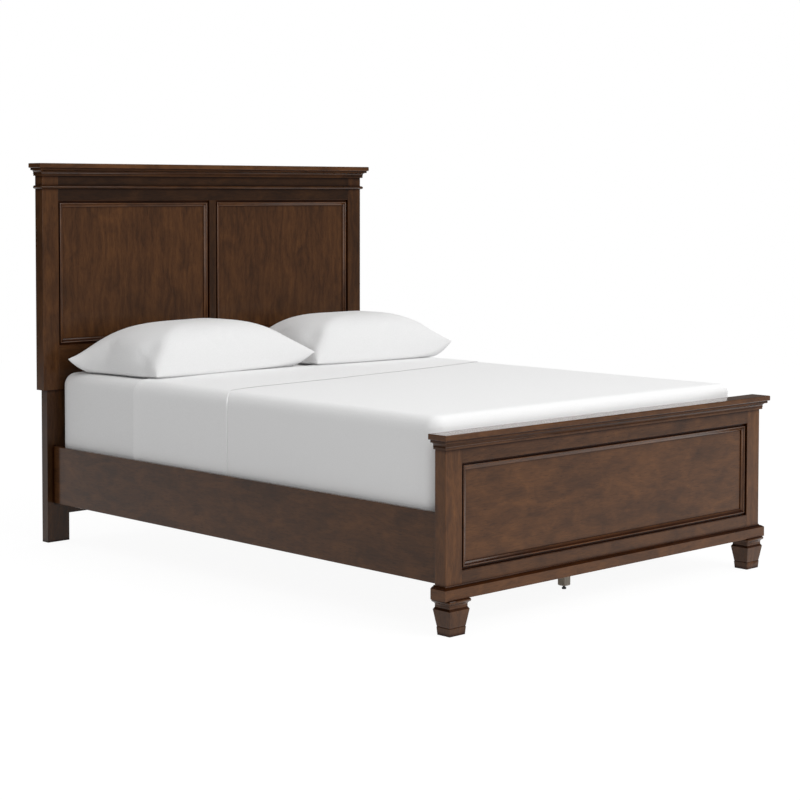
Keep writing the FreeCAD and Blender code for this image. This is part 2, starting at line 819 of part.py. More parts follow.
# Legs of the headboard and the stretcher between them
leg = drilled(leg, leg_bolts + head_bracket_bolts)
save("headboard_leg_left", leg)
save("headboard_leg_right", mirrored(leg))
save("headboard_leg_bolts", leg_bolts + [mirrored(bolt) for bolt in leg_bolts])
save("headboard_stretcher", box(-leg_inner, leg_inner, leg_face, leg_face + stretcher_thickness,
                                stretcher_bottom, stretcher_bottom + stretcher_height))

# Side rails with their ledges and brackets
rail_screws = (bracket_screws(-half_opening, foot_back, 1)
               + bracket_screws(-half_opening, leg_face, -1))
ledge_span = rail_length - 2 * ledge_screw_end - 2 * ledge_end_gap
ledge_screws = [wood_screw(ledge_screw_length,
                           vector(-half_opening + ledge_width,
                                  foot_back + ledge_end_gap + ledge_screw_end
                                  + ledge_span * number / (ledge_screw_count - 1),
                                  slat_bottom - ledge_height / 2), vector(-1, 0, 0))
                for number in range(ledge_screw_count)]
side_rail = box(-rail_outer, -half_opening, foot_back, leg_face, rail_bottom, rail_top)
long_edges = [edge for edge in side_rail.Edges if edge.Length > rail_length - over]
side_rail = side_rail.makeFillet(rail_edge_radius, long_edges)
side_rail = drilled(side_rail, rail_screws + ledge_screws)
save("side_rail_left", side_rail)
save("side_rail_right", mirrored(side_rail))

# Slats, with a screw at each end, and three of them on a centre leg
slat_half = half_opening - slat_end_gap
slat_start = foot_back + first_slat_from_foot
slat_step = (head_face - last_slat_from_head - slat_width - slat_start) / (slat_count - 1)
slat_screws = []
slat_places = [slat_start + slat_step * number for number in range(slat_count)]
for y in slat_places:
    screw = wood_screw(deck_screw_length, vector(-slat_half + ledge_width / 2, y + slat_width / 2, slat_top),
                       vector(0, 0, -1))
    slat_screws += [screw, mirrored(screw)]

ledge = box(-half_opening, -half_opening + ledge_width, foot_back + ledge_end_gap,
            leg_face - ledge_end_gap, slat_bottom - ledge_height, slat_bottom)
ledge = drilled(ledge, ledge_screws + slat_screws[0::2])
save("slat_ledge_left", ledge)
save("slat_ledge_right", mirrored(ledge))

leg_slats = (0, slat_count // 2, slat_count - 1)
leg_screws = []
for number, index in enumerate(leg_slats):
    y = slat_places[index] + slat_width / 2
    centre_leg = box(-centre_leg_width / 2, centre_leg_width / 2, y - centre_leg_width / 2,
                     y + centre_leg_width / 2, leveller_gap, slat_bottom)
    lowest = [edge for edge in centre_leg.Edges
              if max(v.Point.z for v in edge.Vertexes) < leveller_gap + centre_leg_chamfer]
    centre_leg = centre_leg.makeChamfer(centre_leg_chamfer, lowest)
    screws = [wood_screw(leg_screw_length, vector(x, y, slat_top), vector(0, 0, -1))
              for x in (-leg_screw_offset, leg_screw_offset)]
    centre_leg = drilled(centre_leg, screws)
    centre_leg = centre_leg.cut(leveller_stem(0, y, thread_clearance, leveller_hole_depth))
    save("centre_leg_%d" % (number + 1), centre_leg)
    leg_screws += screws
    pad = cylinder(leveller_pad_radius, leveller_pad_height, vector(0, y, 0), vector(0, 0, 1))
    stem = cylinder(leveller_stem_radius, leveller_gap - leveller_pad_height + leveller_stem_length,
                    vector(0, y, leveller_pad_height), vector(0, 0, 1))
    save("leveller_%d" % (number + 1), pad.fuse(stem))

for number, y in enumerate(slat_places):
    slat = box(-slat_half, slat_half, y, y + slat_width, slat_bottom, slat_top)
    near = [screw for screw in slat_screws + leg_screws
            if y < screw.BoundBox.Center.y < y + slat_width]
    save("slat_%d" % (number + 1), drilled(slat, near))
save("deck_screws", slat_screws + leg_screws + ledge_screws + [mirrored(screw) for screw in ledge_screws])

for name, y, side in (("foot", foot_back, 1), ("head", leg_face, -1)):
    angle = drilled(bracket(-half_opening, y, side),
                    bracket_bolts(-half_opening, y, side) + bracket_screws(-half_opening, y, side))
    save("rail_bracket_%s_left" % name, angle)
    save("rail_bracket_%s_right" % name, mirrored(angle))
all_bracket_bolts = foot_bracket_bolts + head_bracket_bolts
save("bracket_bolts", all_bracket_bolts + [mirrored(bolt) for bolt in all_bracket_bolts])
save("bracket_screws", rail_screws + [mirrored(screw) for screw in rail_screws])

# Bedding
save("mattress", mattress_shape())
save("top_sheet", sheet_shape())
save("pillow_left", pillow(pillow_left_length, pillow_left_x, pillow_left_from_head, pillow_left_turn))
save("pillow_right", pillow(pillow_right_length, pillow_right_x, pillow_right_from_head,
                            pillow_right_turn))
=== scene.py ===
import math

import bpy
import numpy as np
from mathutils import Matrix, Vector


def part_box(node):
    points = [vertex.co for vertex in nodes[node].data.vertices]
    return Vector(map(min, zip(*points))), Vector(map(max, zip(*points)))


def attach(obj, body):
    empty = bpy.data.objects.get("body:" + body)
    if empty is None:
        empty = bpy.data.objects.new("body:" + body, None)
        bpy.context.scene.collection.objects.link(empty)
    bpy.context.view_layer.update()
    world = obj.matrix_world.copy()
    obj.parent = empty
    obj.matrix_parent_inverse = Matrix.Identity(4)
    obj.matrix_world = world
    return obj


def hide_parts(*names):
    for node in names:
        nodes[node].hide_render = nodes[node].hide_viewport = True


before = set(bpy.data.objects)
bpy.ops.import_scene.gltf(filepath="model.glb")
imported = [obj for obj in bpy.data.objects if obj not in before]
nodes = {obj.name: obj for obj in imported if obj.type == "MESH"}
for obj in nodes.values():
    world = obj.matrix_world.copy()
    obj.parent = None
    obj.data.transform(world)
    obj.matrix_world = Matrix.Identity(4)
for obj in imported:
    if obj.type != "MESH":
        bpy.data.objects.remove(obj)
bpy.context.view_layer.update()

scene = bpy.context.scene

# All lengths are in metres and all angles in degrees

# Places read from the fixed frame
bed_low, bed_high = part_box("mattress")
sheet_low, sheet_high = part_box("top_sheet")

# The way the grain runs in each wooden piece. Trim is a frame of level and upright sticks, and
# sides is a moulding round the front and both sides.
wood_grain = {
    "footboard_post_left": "z", "footboard_post_right": "z", "footboard_top_rail": "x",
    "footboard_bottom_rail": "x", "footboard_panel": "x", "footboard_cap": "x",
    "foot_left": "z", "foot_right": "z",
    "headboard_stile_left": "z", "headboard_stile_right": "z", "headboard_middle_stile": "z",
    "headboard_top_rail": "x", "headboard_bottom_rail": "x", "headboard_panel_left": "z",
    "headboard_panel_right": "z", "headboard_cap": "x", "headboard_leg_left": "z",
    "headboard_leg_right": "z", "headboard_stretcher": "x",
    "side_rail_left": "y", "side_rail_right": "y",
    "footboard_panel_moulding": "trim", "headboard_panel_moulding_left": "trim",
    "headboard_panel_moulding_right": "trim", "footboard_crown_moulding": "sides",
    "footboard_base_moulding": "sides", "headboard_crown_moulding": "sides",
    "headboard_bead_moulding": "sides",
}

# How light the stain is on a piece, as a share of the colours below. Others have 1. The shares are
# partly the wood's own tone and partly painted shade. Pieces that lie in shade, most of all the
# headboard's top rail under its cap and the headboard's legs, are made darker for it.
tone_and_painted_shade = {
    "footboard_post_left": 1.02, "footboard_top_rail": 0.76, "footboard_bottom_rail": 0.82,
    "footboard_panel": 0.88, "footboard_crown_moulding": 0.8, "foot_left": 0.8, "foot_right": 0.8,
    "side_rail_left": 0.84, "side_rail_right": 0.84,
    "headboard_panel_left": 0.77, "headboard_panel_right": 0.72, "headboard_stile_left": 0.75,
    "headboard_stile_right": 0.6, "headboard_middle_stile": 0.40, "headboard_top_rail": 0.31,
    "headboard_bottom_rail": 0.65, "headboard_crown_moulding": 0.6, "headboard_bead_moulding": 0.6,
    "headboard_leg_left": 0.5, "headboard_leg_right": 0.5, "headboard_stretcher": 0.5,
}
# Carved pieces, whose slopes that face up get painted shade
upward_shaded_pieces = ("footboard_base_moulding", "foot_left", "foot_right")

# Stain by figure. By shelter: glaze with painted shade in the colour, and a lacquer that thins to dim
# reflections as painted shade. Painted shade on the carved pieces' slopes that face up
stain_stops = (
    (0.22, (0.0400, 0.0166, 0.0068)),
    (0.42, (0.0725, 0.0288, 0.0104)),
    (0.58, (0.1060, 0.0422, 0.0142)),
    (0.82, (0.1570, 0.0630, 0.0196)),
)
glaze_and_shade_stops = (
    (0.35, (0.22, 0.12, 0.04)),
    (0.60, (0.40, 0.27, 0.13)),
    (0.80, (0.68, 0.58, 0.46)),
    (0.97, (1.0, 1.0, 1.0)),
)
lacquer_and_shade_stops = ((0.45, (0.0, 0.0, 0.0)), (0.88, (1.0, 1.0, 1.0)))
upward_shade_stops = ((0.20, (1.0, 1.0, 1.0)), (0.60, (0.34, 0.23, 0.11)))
pore_stops = ((0.30, (0.6, 0.6, 0.6)), (0.42, (1.0, 1.0, 1.0)))
glaze_and_shade_reach = 0.014
plain_gloss = 1.25
trim_gloss = 1.31
grain_start = 0.3
grain_offsets = (1.7, 0.61, 0.37)
bare_wood_offset = (1.3, 0.4, 0.7)

# Small rounds on the edges of the wooden pieces
weld_distance = 0.00001
edge_softness = 0.0009
edge_angle = 38

# Mattress: its upright corners in plan, its edges, and how uneven its cover is
plan_radius_low = 0.028
plan_radius_high = 0.052
plan_radius_tight = 0.031
plan_blend = 0.160
top_radius = 0.048
top_radius_right = 0.030
tightening_share = 1 / 3
bottom_radius = 0.014
mattress_step = 0.03
nearest_lines = 0.0018
even_base = 0.03
even_blend = 0.06
cover_unevenness = 0.0006
cover_seed = 1.0

# Sheet: its layers, and the roll at its fold, which the pillows press down on top
cloth_gap = 0.0012
cloth_unevenness = 0.0005
cloth_seed = 2.0
cloth_thickness = 0.0008
sheet_step = 0.02
layer_step = 0.0016
fold_side_roll = 0.0054
fold_top_roll = 0.0034
fold_slope = 0.040
roll_turns = 8
rows_from_fold = (0.002, 0.004, 0.007, 0.011, 0.016, 0.022, 0.029, 0.037, 0.046)
close_rows_reach = 0.08

# Hem of the turned-back layer: a cord on the sides, a loose edge on top, and its line
hem_width = 0.0095
hem_side_height = 0.0042
hem_top_lift = -0.0004
hem_turns = 8
cord_gap = 0.0002
cord_back_share = 0.9
stitch_depth = 0.0009
stitch_place = 0.0015
stitch_width = 0.003
rows_to_hem = (0.030, 0.021, 0.015, hem_width + stitch_width, hem_width + stitch_place)
hem_side_y = 0.023
hem_over_edge = 0.055
hem_edge_share = 0.04
hem_slope = 0.126
hem_lift = 0.050

# Pillows: u runs along a pillow and v across it, each from -1 to 1. An ear is named by the signs
# of its u and v, and it reaches out along and across the pillow. The crown falls off along u by
# one power on the left half and another on the right.
pillow_turns = {"pillow_left": 4.0, "pillow_right": -3.0}
pillow_seeds = {"pillow_left": 1.0, "pillow_right": 3.0}
pillow_step = 0.0085
pillow_waist = 0.016
ear_crowding = 0.72
crown_powers = {"pillow_left": (2.9, 3.5), "pillow_right": (3.2, 2.7)}
side_power = 2.9
under_power = 8
swelling_room = 0.009
pillow_unevenness = 0.0025
ridge_height = 0.036
ridge_width = 0.22
ridge_power = 1.2
seam_low = 0.012
ear_powers = {-1: 6, 1: 4}
ear_heights = {
    "pillow_left": {(-1, 1): 0.058, (-1, -1): 0.010, (1, -1): 0.060, (1, 1): 0.050},
    "pillow_right": {(-1, 1): 0.050, (-1, -1): 0.010, (1, -1): 0.070, (1, 1): 0.050},
}
reach_power = 3
ear_reaches = {
    "pillow_left": {
        (-1, 1): (-0.028, 0.004), (-1, -1): (0.026, 0.018),
        (1, -1): (0.038, -0.020), (1, 1): (0.010, 0.004),
    },
    "pillow_right": {
        (-1, 1): (-0.010, 0.004), (-1, -1): (0.026, 0.018),
        (1, -1): (0.004, -0.002), (1, 1): (0.010, 0.004),
    },
}

# Hollows in the pillows' ends: the place and width in v and the strength of each, its place and
# width in u, and how far it goes in and down
hollows_in_v = ((-0.60, 0.22, 1.0), (0.35, 0.20, 0.5))
hollow_u = 0.90
hollow_u_width = 0.12
hollow_depth = 0.012
hollow_dip = 0.006

# The pillows' swelling, and the gap that they keep from the sheet's folded part
swell_frames = 20
swell_cap = 0.007
fold_margin = 0.01
rest_gap = 0.0006

# Camera, fitted to the photo, with its lens in millimetres
camera_lens = 85.42
camera_shift = (0.06, -0.15)
camera_place = (-4.8816, -5.0495, 1.3462)
camera_down = 2.6428
camera_heading = 47.1257

# Lamps
lamp_target = (0.0, 0.0, 0.5)
key_place = (1.1, -6.4, 4.2)
key_size = 4.0
key_watts = 225.0
fill_place = (-4.6, -4.6, 2.6)
fill_size = 2.5
fill_watts = 12.0

# Studio light: the dome that lights the bed, and the wall and window that mirrored rays find
dome_low = 0.22
dome_rise = 0.84
dome_side = 0.20
wall_strength = 0.22
wall_contrast = 0.20
ceiling_fade = 1.1
window_way = (-0.45, -0.89, 0.0)
window_strength = 2.6
window_focus = 8.0

# Floor: its greys and glow, and the distances over which it turns into the background
floor_radius = 40.0
floor_drop = 0.0002
floor_fade = 12.0
plain_shares = (0.25, 0.7)
mirror_shares = (0.40, 0.85)
floor_matte = 0.74
floor_shadow = 0.10
floor_glow = 0.93

# The least length to divide by, and the least that counts as a step outward
tiny = 1e-9
slight = 1e-6


# Materials

def new_material(name):
    """An empty material, its node tree and its output."""
    material = bpy.data.materials.new(name)
    material.use_nodes = True
    tree = material.node_tree
    tree.nodes.clear()
    output = tree.nodes.new("ShaderNodeOutputMaterial")
    return material, tree, output


def add(tree, kind, links=None, **settings):
    """Adds a node. Settings are its properties, and links set or join its inputs by name."""
    node = tree.nodes.new(kind)
    for key, value in settings.items():
        setattr(node, key, value)
    for key, value in (links or {}).items():
        socket = node.inputs[key]
        if isinstance(value, bpy.types.NodeSocket):
            tree.links.new(value, socket)
        else:
            socket.default_value = value
    return node


def maths(tree, operation, *values, clamp=False):
    """A maths node's result from values, which are numbers or outputs of nodes."""
    return add(tree, "ShaderNodeMath", dict(enumerate(values)), operation=operation,
               use_clamp=clamp).outputs[0]


def weighted(tree, start, *parts):
    """A sum of outputs, each times its weight."""
    total = start
    for part, weight in parts:
        total = maths(tree, "MULTIPLY_ADD", part, weight, total)
    return total


def blended(tree, share, first, second):
    """The first value where the share is 0, and the second where it is 1."""
    return add(tree, "ShaderNodeMix", {"Factor": share, "A": first, "B": second}).outputs[0]


def multiplied(tree, first, second):
    """One colour times another."""
    return add(tree, "ShaderNodeMix", {6: first, 7: second, 0: 1.0},
               data_type="RGBA", blend_type="MULTIPLY").outputs[2]


def separated(tree, vector):
    """The X, Y and Z of a vector."""
    return add(tree, "ShaderNodeSeparateXYZ", {"Vector": vector}).outputs


def object_place(tree):
    """Places in the piece's own metres."""
    return add(tree, "ShaderNodeTexCoord").outputs["Object"]


def noise(tree, coordinates, scale, detail=2.0, roughness=0.5, distortion=0.0):
    """Soft noise from 0 to 1."""
    return add(tree, "ShaderNodeTexNoise", {
        "Vector": coordinates, "Scale": scale, "Detail": detail, "Roughness": roughness,
        "Distortion": distortion}).outputs["Fac"]


def waves(tree, coordinates, direction, profile, links):
    """Waves from 0 to 1 that follow each other along one axis."""
    return add(tree, "ShaderNodeTexWave", {"Vector": coordinates, **links}, wave_type="BANDS",
               bands_direction=direction, wave_profile=profile).outputs["Fac"]


def ramp(tree, factor, stops):
    """A colour ramp from (place, colour) stops."""
    node = add(tree, "ShaderNodeValToRGB", {"Fac": factor})
    elements = node.color_ramp.elements
    while len(elements) < len(stops):
        elements.new(0.5)
    for element, (place, colour) in zip(elements, stops):
        element.position = place
        element.color = (*colour, 1.0)
    return node.outputs["Color"]


def bumped(tree, height, strength, distance, links=None):
    """A surface direction bent by a height."""
    return add(tree, "ShaderNodeBump", {"Height": height, "Strength": strength, "Distance": distance,
                                        **(links or {})}).outputs[0]


def add_surface(tree, output, links):
    """The shader of a piece's surface, joined to the material's output."""
    shader = add(tree, "ShaderNodeBsdfPrincipled", links)
    tree.links.new(shader.outputs[0], output.inputs["Surface"])


def grey(value):
    """A colour with the same amount of red, green and blue."""
    return (value, value, value)


def stretched(tree, grain, offset, stretches):
    """Coordinates turned so that the first one runs along the grain, once for each stretch of it.
    A low stretch draws the pattern out along the grain."""
    parts = separated(tree, object_place(tree))
    order = {"x": (0, 1, 2), "y": (1, 0, 2), "z": (2, 0, 1)}[grain]
    turned = add(tree, "ShaderNodeCombineXYZ", {
        axis: parts[number] for axis, number in zip("XYZ", order)}).outputs[0]
    return [add(tree, "ShaderNodeMapping", {"Vector": turned, "Location": offset,
                                            "Scale": (stretch, 1.0, 1.0)}).outputs[0]
            for stretch in stretches]


def stained_wood(name, grain, offset, tone_and_shade, shade_upward, gloss):
    """Close-grained wood under a dark brown stain and a smooth lacquer. The stain lies in soft
    patches with fine streaks and arched figure. In crevices and under overhangs, the colour is
    darkened by how sheltered the surface is, as glaze and painted shade. The lacquer thins there
    too, which dims its reflections as painted shade. On carved pieces and the panel mouldings, the
    slopes that face up are darkened as painted shade."""
    material, tree, output = new_material(name)
    broad, streaky, fine, figure = stretched(tree, grain, offset, (0.46, 0.10, 0.07, 0.30))
    shading = noise(tree, broad, scale=5.0)
    patches = noise(tree, broad, scale=14.0, detail=6.0, roughness=0.62, distortion=0.9)
    streaks = noise(tree, streaky, scale=230.0, detail=4.0, roughness=0.65, distortion=0.4)
    pores = noise(tree, fine, scale=560.0)
    arches = waves(tree, figure, "Y", "SIN", {"Scale": 9.0, "Distortion": 11.0, "Detail": 3.0,
                                              "Detail Scale": 1.4, "Detail Roughness": 0.62})
    mixed = weighted(tree, -0.25, (shading, 0.30), (patches, 0.74), (streaks, 0.38), (arches, 0.10))
    tint = ramp(tree, mixed, [(place, tuple(tone_and_shade * part for part in colour))
                              for place, colour in stain_stops])
    # Painted shade with glaze: the colour darkens where the surface is sheltered, and the lacquer thins
    # there, dimming its reflections as shade would
    shelter = add(tree, "ShaderNodeAmbientOcclusion", {"Distance": glaze_and_shade_reach}, samples=6).outputs["AO"]
    colour = multiplied(tree, tint, ramp(tree, pores, pore_stops))
    colour = multiplied(tree, colour, ramp(tree, shelter, glaze_and_shade_stops))
    # Painted shade: the slopes that face up are darkened
    if shade_upward:
        upward = separated(tree, add(tree, "ShaderNodeNewGeometry").outputs["Normal"])["Z"]
        colour = multiplied(tree, colour, ramp(tree, upward, upward_shade_stops))
    relief = weighted(tree, 0.0, (streaks, 0.5), (pores, 0.6))
    add_surface(tree, output, {
        "Base Color": colour, "Roughness": 0.3, "Specular IOR Level": 0.05,
        "Normal": bumped(tree, relief, strength=0.3, distance=0.0004),
        "Coat Weight": ramp(tree, shelter, lacquer_and_shade_stops), "Coat IOR": gloss, "Coat Roughness": 0.14})
    return material


def bare_wood(name, grain):
    """Planed pale wood with no finish, for the parts that hold the mattress up."""
    material, tree, output = new_material(name)
    broad, streaky, fine = stretched(tree, grain, bare_wood_offset, (0.30, 0.04, 0.06))
    patches = noise(tree, broad, scale=9.0, detail=3.0, distortion=0.4)
    rings = waves(tree, streaky, "Y", "SAW", {"Scale": 26.0, "Distortion": 3.0, "Detail": 2.0,
                                              "Detail Scale": 1.0})
    fibres = noise(tree, fine, scale=420.0, detail=3.0, roughness=0.6)
    mixed = weighted(tree, 0.0, (patches, 0.45), (rings, 0.34), (fibres, 0.30))
    colour = ramp(tree, mixed, [(0.22, (0.86, 0.80, 0.71)), (0.55, (0.78, 0.70, 0.60)),
                                (0.86, (0.64, 0.55, 0.44))])
    add_surface(tree, output, {"Base Color": colour, "Roughness": 0.72,
                               "Normal": bumped(tree, fibres, strength=0.4, distance=0.0004)})
    return material


def zinc_steel(name):
    """Zinc plated steel with faint crystals and rolling marks."""
    material, tree, output = new_material(name)
    place = object_place(tree)
    crystals = add(tree, "ShaderNodeTexVoronoi", {"Vector": place, "Scale": 260.0}).outputs["Color"]
    crystal_grey = add(tree, "ShaderNodeRGBToBW", {"Color": crystals}).outputs[0]
    scratches = noise(tree, place, scale=900.0, detail=3.0, roughness=0.7)
    colour = ramp(tree, crystal_grey, [(0.2, (0.52, 0.53, 0.54)), (0.8, (0.68, 0.69, 0.68))])
    rough = weighted(tree, 0.24, (scratches, 0.25))
    add_surface(tree, output, {"Base Color": colour, "Roughness": rough, "Metallic": 1.0})
    return material


def black_plastic(name):
    """Moulded black plastic with a fine matte texture."""
    material, tree, output = new_material(name)
    texture = noise(tree, object_place(tree), scale=1400.0, roughness=0.6)
    colour = ramp(tree, texture, [(0.3, (0.012, 0.012, 0.013)), (0.7, (0.024, 0.024, 0.025))])
    add_surface(tree, output, {"Base Color": colour, "Roughness": 0.5,
                               "Normal": bumped(tree, texture, strength=0.3, distance=0.0002)})
    return material


def cotton(name, darkest, palest, thread, crease):
    """White woven cotton. The weave is a sum of waves along all three axes, so it lies right on
    flat tops and upright sides alike. Thread is the pitch, and crease the depth of soft creases."""
    material, tree, output = new_material(name)
    place = object_place(tree)

    # At scale 1, one wave is 2 pi / 20 long
    scale = 2 * math.pi / 20 / thread
    weave = weighted(tree, 0.0, *[
        (waves(tree, place, axis, "SIN", {"Scale": scale, "Distortion": 0.0}), 1.0) for axis in "XYZ"])
    slubs = noise(tree, place, scale=240.0, detail=3.0, roughness=0.65)
    soft = noise(tree, place, scale=7.0, detail=3.0, distortion=0.5)
    threads = bumped(tree, weighted(tree, weave, (slubs, 0.8)), strength=0.35, distance=0.00008)
    add_surface(tree, output, {
        "Base Color": ramp(tree, slubs, [(0.3, grey(darkest)), (0.7, grey(palest))]),
        "Roughness": 0.88,
        "Normal": bumped(tree, soft, strength=0.5, distance=crease, links={"Normal": threads}),
        "Sheen Weight": 0.12, "Sheen Roughness": 0.45, "Specular IOR Level": 0.25})
    return material


# The finish of the construction pieces

def finish_wood():
    """One stain for each piece, turned to its grain. A frame of sticks has a material for each
    direction, shared out by the mitres between its sticks."""
    for number, (name, grain) in enumerate(sorted(wood_grain.items())):
        along, across, through = (number * offset for offset in grain_offsets)
        # The piece's stain tone, with painted shade on pieces that lie in shade
        tone_and_shade = tone_and_painted_shade.get(name, 1.0)
        # Mouldings and carved pieces get painted shade on their slopes that face up
        shade_upward = grain == "trim" or name in upward_shaded_pieces
        gloss = trim_gloss if grain == "trim" else plain_gloss
        finish = ((along + grain_start, across, through), tone_and_shade, shade_upward, gloss)
        mesh = nodes[name].data
        if grain in ("x", "y", "z"):
            mesh.materials[0] = stained_wood("wood_" + name, grain, *finish)
            continue
        other = "z" if grain == "trim" else "y"
        mesh.materials[0] = stained_wood("wood_" + name, "x", *finish)
        mesh.materials.append(stained_wood("wood_" + name + "_" + other, other, *finish))
        centres = np.array([polygon.center for polygon in mesh.polygons])
        low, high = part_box(name)
        from_side = np.minimum(centres[:, 0] - low.x, high.x - centres[:, 0])
        from_end = centres[:, 1] - low.y
        if grain == "trim":
            from_end = np.minimum(centres[:, 2] - low.z, high.z - centres[:, 2])
        mesh.polygons.foreach_set("material_index", (from_side < from_end).astype(np.int32))


def finish_hidden():
    """Bare wood, zinc and black plastic on the parts that hold the bed together and up."""
    slat_wood = bare_wood("bare_wood_x", "x")
    ledge_wood = bare_wood("bare_wood_y", "y")
    leg_wood = bare_wood("bare_wood_z", "z")
    steel = zinc_steel("zinc_plated_steel")
    plastic = black_plastic("glide_plastic")
    for name, piece in nodes.items():
        if name.startswith("slat_ledge"):
            piece.data.materials[0] = ledge_wood
        elif name.startswith("slat_"):
            piece.data.materials[0] = slat_wood
        elif name.startswith("centre_leg"):
            piece.data.materials[0] = leg_wood
        elif name.startswith("leveller"):
            piece.data.materials[0] = plastic
        elif name.endswith(("bolts", "screws")) or name.startswith("rail_bracket"):
            piece.data.materials[0] = steel


def soften_edges(piece):
    """A small round on the sharp edges, as sanding leaves it."""
    weld = piece.modifiers.new("weld", "WELD")
    weld.merge_threshold = weld_distance
    bevel = piece.modifiers.new("soft_edges", "BEVEL")
    bevel.width = edge_softness
    bevel.segments = 2
    bevel.limit_method = "ANGLE"
    bevel.angle_limit = math.radians(edge_angle)
    bevel.use_clamp_overlap = True
    bevel.harden_normals = True


# Shapes that the bedding shares

def eased(share):
    """A share from 0 to 1 that sets out and arrives gently."""
    return share ** 2 * (3 - 2 * share)


def undulation(points, seed):
    """Soft rises and hollows of filling and cloth, from about -1 to 1."""
    x, y, z = points[:, 0], points[:, 1], points[:, 2]
    broad = np.sin(5.1 * x + 1.7 * y + seed) * np.sin(3.7 * y - 1.3 * x + 2.1 * seed)
    middling = np.sin(11.0 * x - 4.3 * y + 9.0 * z + 0.7 * seed)
    small = np.sin(17.0 * y + 6.1 * x - 7.0 * z + 1.9 * seed)
    return (broad + 0.55 * middling + 0.35 * small) / (1 + 0.55 + 0.35)


def make_object(name, vertices, faces):
    """A smooth-shaded object in the scene."""
    mesh = bpy.data.meshes.new(name)
    mesh.from_pydata([tuple(v) for v in vertices], [], [tuple(f) for f in faces])
    mesh.update()
    mesh.polygons.foreach_set("use_smooth", [True] * len(mesh.polygons))
    piece = bpy.data.objects.new(name, mesh)
    scene.collection.objects.link(piece)
    return piece


class BoxGrid:
    """Points and quads on a box's faces, with shared points welded."""

    def __init__(self, xs, ys, zs):
        self.lines = (xs, ys, zs)
        self.last = (len(xs) - 1, len(ys) - 1, len(zs) - 1)
        self.index = {}
        self.points = []
        self.quads = []

    def point(self, *key):
        """The number of the point at one line of x, y and z each, made when first asked for."""
        if key not in self.index:
            self.index[key] = len(self.points)
            self.points.append([line[number] for line, number in zip(self.lines, key)])
        return self.index[key]

    def face(self, axis, at_end):
        """Adds the face across one axis, at its low or high end, seen from outside."""
        first, second = [other for other in range(3) if other != axis]
        key = [0, 0, 0]
        key[axis] = self.last[axis] if at_end else 0
        flip = at_end != (axis == 1)
        for i in range(self.last[first]):
            for j in range(self.last[second]):
                quad = []
                for di, dj in ((0, 0), (1, 0), (1, 1), (0, 1)):
                    key[first], key[second] = i + di, j + dj
                    quad.append(self.point(*key))
                self.quads.append(quad if flip else quad[::-1])


# The mattress's rounded box, which the sheet follows too

def spaced_lines(low, high, radii, step, turns=5):
    """Grid lines from low to high, close together where the edges are rounded."""
    lines = [low, high]
    for radius in radii:
        for number in range(turns + 1):
            reach = radius - radius * math.tan(math.pi / 4 * number / turns)
            lines += [low + reach, high - reach]
    inner_low = low + max(radii)
    inner_high = high - max(radii)
    count = max(2, round((inner_high - inner_low) / step))
    lines += [inner_low + (inner_high - inner_low) * number / count for number in range(1, count)]
    kept = []
    for line in sorted(lines):
        if not kept or line - kept[-1] > nearest_lines:
            kept.append(line)
    kept[-1] = high
    return kept


def bed_lines(step):
    """Grid lines for the mattress's box along x, y and z."""
    corners = (plan_radius_high, plan_radius_tight, plan_radius_high - top_radius)
    edges = (top_radius, top_radius_right)
    return [spaced_lines(low, high, radii, step)
            for low, high, radii in zip(bed_low, bed_high, (corners, corners, edges))]


def plan_radius(points, middle, top):
    """The radius of the upright corners in plan: tight low down, and wider near the top of the left
    corner at the foot."""
    share = np.clip((points[:, 2] - top + plan_blend) / (plan_blend - top_radius), 0, 1)
    loose = (points[:, 0] < middle[0]) & (points[:, 1] < middle[1])
    widest = np.where(loose, plan_radius_high, plan_radius_tight)
    return plan_radius_low + (widest - plan_radius_low) * eased(share)


def edge_radius(points, middle, high):
    """The radius of the top edge, which tightens towards the right side."""
    tightening = (high[0] - middle[0]) * tightening_share
    share = np.clip(1 - (high[0] - points[:, 0]) / tightening, 0, 1)
    return top_radius + (top_radius_right - top_radius) * eased(share)


def bed_places(points):
    """At points on the mattress's box: its middle, the radii of its top edge and upright corner,
    the nearest place in plan between the corners' centres, and the way out from there."""
    low, high = np.array(bed_low), np.array(bed_high)
    middle = (low + high) / 2
    edge = edge_radius(points, middle, high)
    corner = np.maximum(plan_radius(points, middle, high[2]), edge)
    core = (high - low)[:2] / 2 - corner[:, None]
    flat = points[:, :2] - middle[:2]
    inner = np.clip(flat, -core, core)
    return middle, edge, corner, inner, flat - inner


def rounded(points):
    """Moves points on the faces of the mattress's box to its rounded corners and edges."""
    middle, edge, corner, inner, out = bed_places(points)
    reach = np.abs(out).max(axis=1)
    length = np.linalg.norm(out, axis=1)
    direction = out / np.maximum(length, tiny)[:, None]
    level = points[:, 2].copy()
    for radius, end, sign in ((edge, bed_high.z, 1), (bottom_radius, bed_low.z, -1)):
        across = reach - (corner - radius)
        up = sign * (level - end) + radius
        both = (across > 0) & (up > 0)
        shrink = np.maximum(across, up) / np.maximum(np.hypot(across, up), tiny)
        reach = np.where(both, corner - radius + across * shrink, reach)
        level = np.where(both, end + sign * (up * shrink - radius), level)
    return np.column_stack([inner + direction * reach[:, None] + middle[:2], level])


